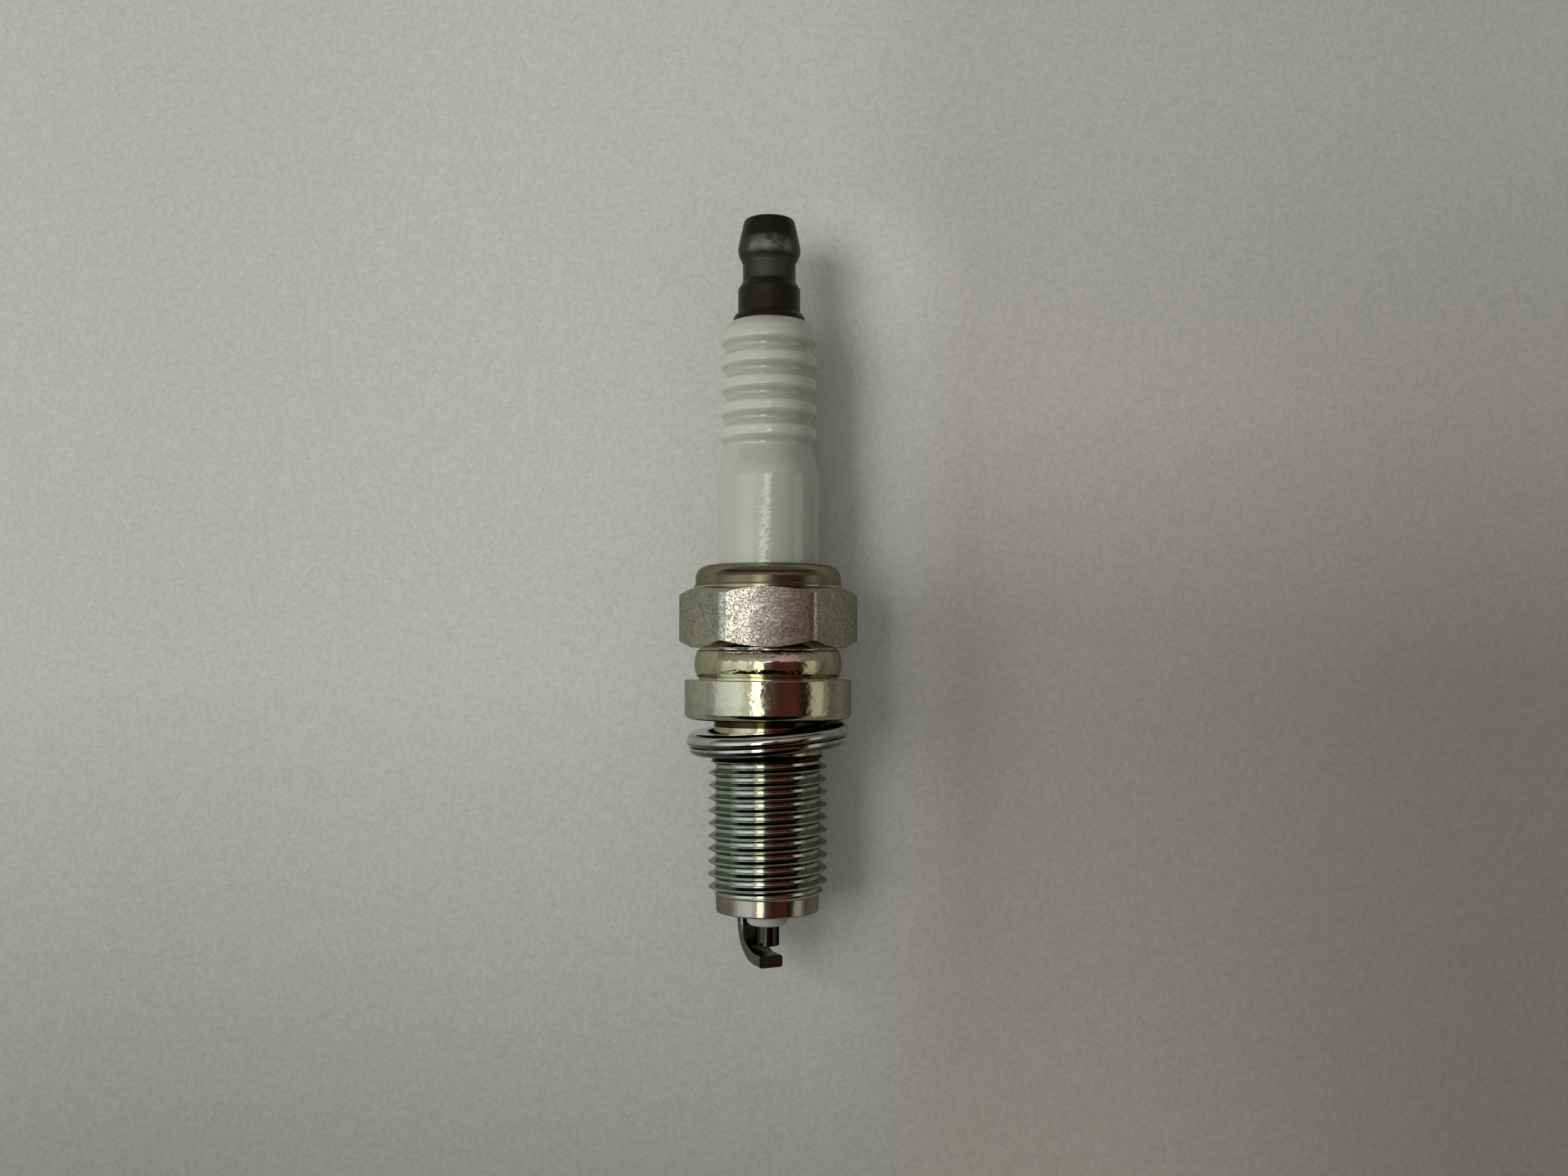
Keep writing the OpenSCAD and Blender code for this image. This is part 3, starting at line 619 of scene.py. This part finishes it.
def thread_tree(s):
    """Geometry Nodes for the helical thread: a grid wound along the helix, with run-outs."""
    tree = bpy.data.node_groups.new("wound_thread", "GeometryNodeTree")
    face = tree.interface
    for name, kind in (("Pitch", "Float"), ("Crest Radius", "Float"), ("Root Radius", "Float"),
                       ("Left Crest", "Float"), ("Top", "Float"), ("Bottom", "Float"),
                       ("Neck Radius", "Float"), ("Pilot Radius", "Float"),
                       ("Segments", "Int"), ("Rows", "Int"), ("Turns", "Int"),
                       ("Material", "Material")):
        face.new_socket(name, in_out="INPUT", socket_type="NodeSocket" + kind)
    face.new_socket("Geometry", in_out="OUTPUT", socket_type="NodeSocketGeometry")
    t = Tree(tree)
    g = t.node("NodeGroupInput").outputs

    rows = t.math("MULTIPLY", g["Rows"], g["Turns"])
    grid = t.node("GeometryNodeMeshGrid", {"Size X": 1.0, "Size Y": 1.0})
    t.feed(grid, "Vertices X", t.math("ADD", g["Segments"], 1))
    t.feed(grid, "Vertices Y", t.math("ADD", rows, 1))
    spot = t.node("ShaderNodeSeparateXYZ", {0: t.node("GeometryNodeInputPosition").outputs[0]})
    share = t.math("ADD", spot.outputs[0], 0.5)
    # Turns counted down from two above the first crest, so the grid covers all of the top.
    wound = t.math("MULTIPLY", t.math("ADD", spot.outputs[1], 0.5), g["Turns"])
    phase = t.math("SUBTRACT", 2.0, wound)
    rise = t.math("MULTIPLY", t.math("ADD", phase, share), g["Pitch"])
    free = t.math("ADD", g["Left Crest"], rise)
    height = t.math("MAXIMUM", t.math("MINIMUM", free, g["Top"]), g["Bottom"])

    # From the root at 0 to the crest at 1, along a straight flank with both ends rounded.
    flank_start, flank_share, crest_round, root_round = 0.27, 0.66, 0.15, 0.14
    wave = t.math("PINGPONG", phase, 0.5)
    climb = t.math("SUBTRACT", 1.0, t.math("MULTIPLY", wave, 2.0))
    flank = t.math("DIVIDE", t.math("SUBTRACT", climb, flank_start), flank_share)
    crested = t.math("SMOOTH_MIN", flank, 1.0, crest_round)
    rooted = t.math("SMOOTH_MAX", crested, 0.0, root_round)
    depth = t.math("SUBTRACT", g["Crest Radius"], g["Root Radius"])
    thread = t.math("ADD", g["Root Radius"], t.math("MULTIPLY", rooted, depth))

    # The run-outs: the thread stays between two cones at each end, which meet its last radius.
    from_top = t.math("SUBTRACT", g["Top"], height)
    from_bottom = t.math("SUBTRACT", height, g["Bottom"])
    gentle = t.math("MULTIPLY", from_top, 0.33)
    steep = t.math("SUBTRACT", from_top, 0.4 * MM)
    top_limit = t.math("ADD", g["Neck Radius"], t.math("MAXIMUM", gentle, steep))
    bottom_limit = t.math("ADD", g["Pilot Radius"], t.math("MULTIPLY", from_bottom, 0.9))
    limited = t.math("MINIMUM", thread, t.math("MINIMUM", top_limit, bottom_limit))
    top_floor = t.math("SUBTRACT", g["Neck Radius"], t.math("MULTIPLY", from_top, 0.7))
    bottom_floor = t.math("SUBTRACT", g["Pilot Radius"], t.math("MULTIPLY", from_bottom, 0.2))
    floor = t.math("MAXIMUM", top_floor, bottom_floor)
    radius = t.math("MAXIMUM", limited, floor)

    # The left side, where the first crest is given, is a quarter turn before the front.
    angle = t.math("MULTIPLY", t.math("SUBTRACT", share, 0.25), 2 * math.pi)
    put = t.node("ShaderNodeCombineXYZ", {
        0: t.math("MULTIPLY", t.math("SINE", angle), radius),
        1: height,
        2: t.math("MULTIPLY", t.math("COSINE", angle), radius)})
    wind = t.node("GeometryNodeSetPosition", {
        "Geometry": grid.outputs["Mesh"], "Position": put.outputs[0]})
    merge = t.node("GeometryNodeMergeByDistance", {"Geometry": wind.outputs[0]})
    t.feed(merge, "Distance", 0.000002)
    real = t.node("GeometryNodeRealizeInstances", {"Geometry": merge.outputs[0]})
    paint = t.node("GeometryNodeSetMaterial", {
        "Geometry": real.outputs[0], "Material": g["Material"]})
    t.node("NodeGroupOutput", {"Geometry": paint.outputs[0]})
    return tree


def wound_thread(s, left_crest, material):
    """The thread's mesh, with a crest at the height left_crest on the left side."""
    top, bottom = -3.5 * MM, -17.35 * MM
    neck_radius, pilot_radius = 5.41 * MM, 5.16 * MM
    spare_turns = 3
    turns = math.ceil((top - bottom) / s.pitch) + spare_turns
    tree = thread_tree(s)
    obj = bpy.data.objects.new("thread_maker", bpy.data.meshes.new("thread_maker"))
    bpy.context.scene.collection.objects.link(obj)
    maker = obj.modifiers.new("thread", "NODES")
    maker.node_group = tree
    values = {"Pitch": s.pitch, "Crest Radius": s.crest_radius, "Root Radius": s.root_radius,
              "Left Crest": left_crest, "Top": top, "Bottom": bottom,
              "Neck Radius": neck_radius, "Pilot Radius": pilot_radius,
              "Segments": s.segments, "Rows": s.rows, "Turns": turns, "Material": material}
    for item in tree.interface.items_tree:
        if item.in_out == "INPUT":
            maker[item.identifier] = values[item.name]
    bpy.context.view_layer.update()
    ready = obj.evaluated_get(bpy.context.evaluated_depsgraph_get())
    mesh = bpy.data.meshes.new_from_object(ready)
    obj.modifiers.clear()
    bpy.data.objects.remove(obj)
    return mesh


def merged_triangles(obj):
    """A CAD node's triangles as merged points, triangles and the normals of their corners."""
    mesh = obj.data
    mesh.calc_loop_triangles()
    count = len(mesh.vertices)
    co = np.empty(count * 3, np.float32)
    mesh.vertices.foreach_get("co", co)
    co = co.reshape(-1, 3)
    loops = np.empty(len(mesh.loops), np.int32)
    mesh.loops.foreach_get("vertex_index", loops)
    normals = np.empty(len(mesh.loops) * 3, np.float32)
    mesh.corner_normals.foreach_get("vector", normals)
    normals = normals.reshape(-1, 3)
    tri_loops = np.empty(len(mesh.loop_triangles) * 3, np.int32)
    mesh.loop_triangles.foreach_get("loops", tri_loops)
    per_metre = 1e7
    key = np.round(co * per_metre).astype(np.int64)
    first, back = np.unique(key, axis=0, return_index=True, return_inverse=True)[1:]
    back = back.reshape(-1)
    tris = back[loops[tri_loops]].reshape(-1, 3)
    corner = normals[tri_loops].reshape(-1, 3, 3)
    keep = (tris[:, 0] != tris[:, 1]) & (tris[:, 1] != tris[:, 2]) & (tris[:, 2] != tris[:, 0])
    return co[first], tris[keep], corner[keep]


def rim_points(tris, points):
    """The numbers of the points on a triangle set's open edges, lowest point first."""
    edges = {(u, v) for a, b, c in tris for u, v in ((a, b), (b, c), (c, a))}
    rim = {n for u, v in edges if (v, u) not in edges for n in (u, v)}
    return sorted(rim, key=lambda n: points[n][1])


def ring_strip(points, upper, lower):
    """Triangles between two rings round the Y axis, each a list of point numbers."""
    def angle(n):
        return math.atan2(points[n][0], points[n][2])
    upper = sorted(upper, key=angle)
    lower = sorted(lower, key=angle)
    made = []
    i, j = 0, 0
    nu, nl = len(upper), len(lower)

    def wound_angle(ring, k):
        """The angle of a ring's point, which keeps growing past a whole turn."""
        turn, k = divmod(k, len(ring))
        return angle(ring[k]) + 2 * math.pi * turn

    while i < nu or j < nl:
        upper_first = i < nu and wound_angle(upper, i + 1) <= wound_angle(lower, j + 1)
        if j >= nl or upper_first:
            made.append((upper[i % nu], lower[j % nl], upper[(i + 1) % nu]))
            i += 1
        else:
            made.append((upper[i % nu], lower[j % nl], lower[(j + 1) % nl]))
            j += 1
    return made


def threaded_shell(s, material):
    """The CAD shell with its plain thread cylinder cut away and the wound thread in its place."""
    points, tris, corners = merged_triangles(frame["nodes"]["metal_shell"])
    radius = np.hypot(points[:, 0], points[:, 2])
    # The outside of the neck and the plain cylinder, above halfway and below it.
    zone_top, zone_bottom, zone_inside, slack = -0.19 * MM, -17.4 * MM, 4.9 * MM, 0.01 * MM
    halfway = -10 * MM
    in_zone = (points[:, 1] < zone_top + slack) & (points[:, 1] > zone_bottom - slack)
    in_zone &= radius > zone_inside
    whole = BVHTree.FromPolygons(points.tolist(), tris.tolist())
    crest = on_surface(whole, *IMAGE_POINTS["first_thread_crest"][2:])
    cut = in_zone[tris].all(axis=1)
    tris, corners = tris[~cut], corners[~cut]
    rim = rim_points(tris, points)
    upper = [n for n in rim if points[n][1] > halfway]
    lower = [n for n in rim if points[n][1] <= halfway]

    band = wound_thread(s, crest.y, material)
    bm = bmesh.new()
    bm.from_mesh(band)
    bmesh.ops.dissolve_degenerate(bm, dist=1e-7, edges=bm.edges)
    bmesh.ops.triangulate(bm, faces=bm.faces)
    bmesh.ops.recalc_face_normals(bm, faces=bm.faces)
    outward = 0
    for f in bm.faces:
        middle = f.calc_center_median()
        outward += f.normal.x * middle.x + f.normal.z * middle.z > 0
    if outward < len(bm.faces) / 2:
        bmesh.ops.reverse_faces(bm, faces=bm.faces)
    bm.verts.index_update()
    shift = len(points)
    band_points = np.array([v.co for v in bm.verts], np.float32)
    band_tris = np.array([[v.index + shift for v in f.verts] for f in bm.faces])
    rims = sorted({v.index + shift for e in bm.edges if e.is_boundary for v in e.verts})
    bm.normal_update()
    band_normals = np.array([v.normal for v in bm.verts], np.float32)
    bm.free()
    points = np.vstack([points, band_points])
    band_up = [n for n in rims if points[n][1] > halfway]
    band_down = [n for n in rims if points[n][1] <= halfway]
    joints = ring_strip(points, upper, band_up) + ring_strip(points, band_down, lower)
    joints = np.array(joints)
    # The strips' corners face straight away from the axis.
    flat = points * np.array([1, 0, 1], np.float32)
    flat /= np.maximum(np.linalg.norm(flat, axis=1), 1e-9)[:, None]

    all_tris = np.vstack([tris, band_tris, joints])
    all_corners = np.vstack([corners, band_normals[band_tris - shift], flat[joints]])
    used = np.unique(all_tris)
    lookup = np.full(len(points), -1)
    lookup[used] = np.arange(len(used))
    mesh = bpy.data.meshes.new("metal_shell_threaded")
    mesh.from_pydata(points[used].tolist(), [], lookup[all_tris].tolist())
    mesh.shade_smooth()
    mesh.normals_split_custom_set(all_corners.reshape(-1, 3).tolist())
    mesh.update()
    obj = bpy.data.objects.new("metal_shell_threaded", mesh)
    bpy.context.scene.collection.objects.link(obj)
    return obj


class PLUG_OT_shell(bpy.types.Operator):
    """Cut the thread on the metal shell and give it its passivated zinc finish"""

    bl_idname = "plug.shell"
    bl_label = "Metal shell"

    def execute(self, context):
        scene = context.scene
        film = shared("passivation_film", film_group)
        grain = shared("metal_grain", grain_group)
        material = zinc_material(scene.plug_shell, film, grain)
        shell = threaded_shell(scene.plug_thread, material)
        use_material(shell, material)
        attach(shell, "plug")
        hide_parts("metal_shell")
        return {"FINISHED"}


# ---------------------------------------------------------------- insulator


def glaze_material(s):
    material, t, shader, place = new_material("white_glaze")
    axes = t.node("ShaderNodeSeparateXYZ", {0: place})
    y = t.math("MULTIPLY", axes.outputs[1], 1000)
    across = t.math("MULTIPLY", t.node("ShaderNodeVectorMath", {
        0: t.node("ShaderNodeCombineXYZ", {0: axes.outputs[0], 2: axes.outputs[2]}).outputs[0]},
        operation="LENGTH").outputs["Value"], 1000)
    # Painted shade in the grooves between the ribs, where the glaze colour is darkened.
    groove_shade_mask = t.math("MULTIPLY", t.step(across, 4.95, 4.45), t.step(y, 27.0, 28.0))
    colour = t.mix(t.step(y, 26.4, 28.2), rgba(s.glaze), rgba(s.rib))
    colour = t.mix(groove_shade_mask, colour, rgba(s.groove_shade))
    cloud = t.noise(place, 180, 3, 0.5)
    colour = t.mix(t.step(cloud, 0.3, 0.7, 0.0, 0.25), colour, srgb(138, 139, 128))
    nose = t.step(y, -15.0, -17.0)
    colour = t.mix(nose, colour, rgba(s.nose))
    t.feed(shader, "Base Color", colour)
    t.feed(shader, "Roughness", t.step(nose, 0, 1, 0.11, 0.75))
    t.feed(shader, "IOR", 1.72)
    ripple = t.noise(place, 1500, 2, 0.5)
    t.feed(shader, "Normal", t.bump(ripple, 0.7, 0.00003))
    return material


class PLUG_OT_insulator(bpy.types.Operator):
    """Glaze the ceramic insulator"""

    bl_idname = "plug.insulator"
    bl_label = "Insulator"

    def execute(self, context):
        use_material(frame["nodes"]["insulator"], glaze_material(context.scene.plug_insulator))
        return {"FINISHED"}


# ---------------------------------------------------------------- terminal


def phosphate_material(s, grain):
    material, t, shader, place = new_material("black_phosphate")
    axes = t.node("ShaderNodeSeparateXYZ", {0: place})
    y = t.math("MULTIPLY", axes.outputs[1], 1000)
    blotch = t.noise(place, 700, 4, 0.6, 0.6)
    colour = t.mix(t.step(blotch, 0.35, 0.7), rgba(s.coat), srgb(20, 20, 17))
    foot = t.step(y, 44.5, 41.0)
    colour = t.mix(t.math("MULTIPLY", foot, 0.8), colour, rgba(s.brown))
    colour = t.mix(t.band(y, 44.3, 46.4, 0.3), colour, rgba(s.neck))
    # Rubbed steel on the head's belly, partly a painted sheen of the lamp above.
    rub_and_sheen = t.math("MULTIPLY", t.band(y, 46.8, 48.3, 0.4), t.step(blotch, 0.36, 0.56, 0.25, 1.0))
    colour = t.mix(t.math("MULTIPLY", rub_and_sheen, 0.85), colour, rgba(s.worn))
    # Painted shade: the coat goes nearly black where the stud turns away at its sides.
    facing = t.node("ShaderNodeLayerWeight", {"Blend": 0.5}).outputs["Facing"]
    colour = t.mix(t.step(facing, 0.05, 0.55, 0.0, 0.92), colour, (0.003, 0.003, 0.002, 1))
    speck = grouped(t, grain, Place=place, Scale=2600)
    t.feed(shader, "Base Color", colour)
    t.feed(shader, "Metallic", 0.55)
    t.feed(shader, "Roughness", t.step(blotch, 0.3, 0.7, 0.36, 0.52))
    t.feed(shader, "Normal", t.bump(speck.outputs["Height"], 0.35, 0.00004))
    return material


class PLUG_OT_terminal(bpy.types.Operator):
    """Give the terminal stud its dark phosphate coat"""

    bl_idname = "plug.terminal"
    bl_label = "Terminal stud"

    def execute(self, context):
        grain = shared("metal_grain", grain_group)
        use_material(frame["nodes"]["terminal_stud"],
                     phosphate_material(context.scene.plug_terminal, grain))
        return {"FINISHED"}


# ---------------------------------------------------------------- electrodes


def nickel_material(name, tint, edge):
    material, t, shader, place = new_material(name)
    lines = t.node("ShaderNodeMapping", {"Vector": place, "Scale": (1.0, 0.06, 1.0)})
    drawn = t.noise(lines.outputs[0], 5200, 3, 0.6)
    worn = t.step(drawn, 0.35, 0.65, 1.0, 0.65)
    t.feed(shader, "Base Color", t.mix(1.0, rgba(tint), worn, "MULTIPLY"))
    t.feed(shader, "Specular Tint", rgba(edge))
    t.feed(shader, "Metallic", 1.0)
    t.feed(shader, "Roughness", t.step(drawn, 0.3, 0.7, 0.12, 0.22))
    t.feed(shader, "Normal", t.bump(drawn, 0.25, 0.00003))
    return material


class PLUG_OT_electrodes(bpy.types.Operator):
    """Finish the centre electrode and the ground strap"""

    bl_idname = "plug.electrodes"
    bl_label = "Electrodes"

    def execute(self, context):
        s = context.scene.plug_electrodes
        strap = nickel_material("nickel_strap", s.nickel, s.nickel_edge)
        use_material(frame["nodes"]["ground_electrode"], strap)
        # The centre electrode takes a darkened copy of the nickel, as a painted dark reflection.
        tip = nickel_material("nickel_tip", s.tip, s.shaded_tip_edge)
        use_material(frame["nodes"]["centre_electrode"], tip)
        return {"FINISHED"}


# ---------------------------------------------------------------- inner pieces


# Each piece's two colours, how metallic and how rough it is, and the scale of its grain.
INNER_LOOKS = {
    "copper_core": ((0.80, 0.42, 0.28, 1), (0.62, 0.28, 0.17, 1), 1.0, 0.3, 2400),
    "lower_glass_seal": ((0.10, 0.10, 0.10, 1), (0.30, 0.24, 0.18, 1), 0.4, 0.35, 3600),
    "upper_glass_seal": ((0.10, 0.10, 0.10, 1), (0.30, 0.24, 0.18, 1), 0.4, 0.35, 3600),
    "resistor": ((0.07, 0.07, 0.075, 1), (0.14, 0.14, 0.14, 1), 0.0, 0.7, 3000),
    "seat_packing": ((0.46, 0.45, 0.43, 1), (0.34, 0.33, 0.31, 1), 1.0, 0.35, 2600),
    "lower_ring_packing": ((0.46, 0.45, 0.43, 1), (0.34, 0.33, 0.31, 1), 1.0, 0.35, 2600),
    "upper_ring_packing": ((0.46, 0.45, 0.43, 1), (0.34, 0.33, 0.31, 1), 1.0, 0.35, 2600),
    "talc_seal": ((0.72, 0.71, 0.68, 1), (0.60, 0.60, 0.56, 1), 0.0, 0.9, 4200),
}


def inner_material(name, look, grain):
    first, second, metal, rough, scale = look
    material, t, shader, place = new_material("inside_" + name)
    speck = grouped(t, grain, Place=place, Scale=scale)
    t.feed(shader, "Base Color", t.mix(speck.outputs["Mask"], first, second))
    t.feed(shader, "Metallic", metal)
    t.feed(shader, "Roughness", rough)
    t.feed(shader, "Normal", t.bump(speck.outputs["Height"], 0.3, 0.00004))
    return material


class PLUG_OT_inside(bpy.types.Operator):
    """Finish the pieces that are sealed inside the plug"""

    bl_idname = "plug.inside"
    bl_label = "Inner pieces"

    def execute(self, context):
        grain = shared("metal_grain", grain_group)
        for name, look in INNER_LOOKS.items():
            use_material(frame["nodes"][name], inner_material(name, look, grain))
        return {"FINISHED"}


# ---------------------------------------------------------------- gasket


def gasket_material(s, grain):
    material, t, shader, place = new_material("bright_gasket_plate")
    cloud = t.noise(place, 420, 3, 0.5, 0.4)
    colour = t.mix(t.step(cloud, 0.35, 0.65), rgba(s.plate), (0.46, 0.48, 0.47, 1))
    # Painted shade: the sides of the folds, which only see the plug and each other, are darkened in
    # the colour.
    normal = t.node("ShaderNodeTexCoord").outputs["Normal"]
    lean = t.node("ShaderNodeSeparateXYZ", {0: normal}).outputs[1]
    fold_side_shade = t.math("ADD", t.step(lean, 0.0, -0.3), t.step(lean, 0.5, 0.75, 0.0, 0.7))
    colour = t.mix(fold_side_shade, colour, (0.11, 0.11, 0.105, 1))
    speck = grouped(t, grain, Place=place, Scale=3000)
    t.feed(shader, "Base Color", colour)
    t.feed(shader, "Metallic", 1.0)
    t.feed(shader, "Roughness", t.step(cloud, 0.3, 0.7, 0.05, 0.1))
    t.feed(shader, "Normal", t.bump(speck.outputs["Height"], 0.12, 0.00003))
    return material


class PLUG_OT_gasket(bpy.types.Operator):
    """Finish the folded steel gasket"""

    bl_idname = "plug.gasket"
    bl_label = "Gasket"

    def execute(self, context):
        grain = shared("metal_grain", grain_group)
        use_material(frame["nodes"]["gasket"], gasket_material(context.scene.plug_gasket, grain))
        return {"FINISHED"}


# ---------------------------------------------------------------- panel


OPERATORS = (PLUG_OT_stage, PLUG_OT_shell, PLUG_OT_insulator, PLUG_OT_terminal,
             PLUG_OT_electrodes, PLUG_OT_inside, PLUG_OT_gasket)
SETTINGS = {"plug_stage": StageSettings, "plug_thread": ThreadSettings,
            "plug_shell": ShellSettings, "plug_insulator": InsulatorSettings,
            "plug_terminal": TerminalSettings, "plug_electrodes": ElectrodeSettings,
            "plug_gasket": GasketSettings}


class PLUG_PT_panel(bpy.types.Panel):
    """The spark plug's pieces and stage"""

    bl_idname = "PLUG_PT_panel"
    bl_label = "Spark plug"
    bl_space_type = "VIEW_3D"
    bl_region_type = "UI"
    bl_category = "Spark plug"

    def draw(self, context):
        for operator in OPERATORS:
            self.layout.operator(operator.bl_idname)
        for name in SETTINGS:
            box = self.layout.box()
            settings = getattr(context.scene, name)
            for prop in settings.bl_rna.properties:
                if prop.identifier not in ("rna_type", "name"):
                    box.prop(settings, prop.identifier)


def register():
    for cls in (*SETTINGS.values(), *OPERATORS, PLUG_PT_panel):
        bpy.utils.register_class(cls)
    for name, cls in SETTINGS.items():
        setattr(bpy.types.Scene, name, bpy.props.PointerProperty(type=cls))


def unregister():
    for name in SETTINGS:
        delattr(bpy.types.Scene, name)
    for cls in (PLUG_PT_panel, *reversed(OPERATORS), *reversed(SETTINGS.values())):
        bpy.utils.unregister_class(cls)


# ---------------------------------------------------------------- image points


def finished_pieces():
    """The object's finished meshes by piece: the places of their vertices, and their triangles."""
    graph = bpy.context.evaluated_depsgraph_get()
    pieces = {}
    for obj in bpy.context.scene.objects:
        if obj.type != "MESH" or obj.name in ("table_top", "metal_shell"):
            continue
        mesh = obj.evaluated_get(graph).to_mesh()
        mesh.calc_loop_triangles()
        places = np.empty(len(mesh.vertices) * 3)
        mesh.vertices.foreach_get("co", places)
        tris = np.empty(len(mesh.loop_triangles) * 3, np.int32)
        mesh.loop_triangles.foreach_get("vertices", tris)
        pieces[obj.name.replace("_threaded", "")] = (places.reshape(-1, 3), tris.reshape(-1, 3))
    return pieces


def write_points():
    """For each image point, finds the outermost finished vertex on its side that shows near it."""
    pieces = finished_pieces()
    shift = 0
    corners, faces = [], []
    for places, tris in pieces.values():
        corners.append(places)
        faces.append(tris + shift)
        shift += len(places)
    tree = BVHTree.FromPolygons(np.vstack(corners).tolist(), np.vstack(faces).tolist())
    start = Vector(camera_numbers()[0])

    def shows(place):
        way = place - start
        hit = tree.ray_cast(start, way, way.length)[0]
        return hit is None or (hit - place).length < 0.05 * MM

    for name, (piece, side, x, y) in IMAGE_POINTS.items():
        places = pieces[piece][0]
        seen = in_image(places)
        near = np.ones(len(seen), bool)
        if x is not None and side != "left" and side != "right":
            near &= abs(seen[:, 0] - x) < POINT_REACH
        if y is not None and side != "top" and side != "bottom":
            near &= abs(seen[:, 1] - y) < POINT_REACH
        order = np.argsort(-(seen @ np.array(SIDES[side])))
        order = order[near[order]]
        found = next((n for n in order if shows(Vector(places[n]))), None)


def main():
    register()
    bpy.ops.plug.stage()
    bpy.ops.plug.shell()
    bpy.ops.plug.insulator()
    bpy.ops.plug.terminal()
    bpy.ops.plug.electrodes()
    bpy.ops.plug.inside()
    bpy.ops.plug.gasket()
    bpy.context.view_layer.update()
    write_points()


if __name__ == "__main__":
    main()
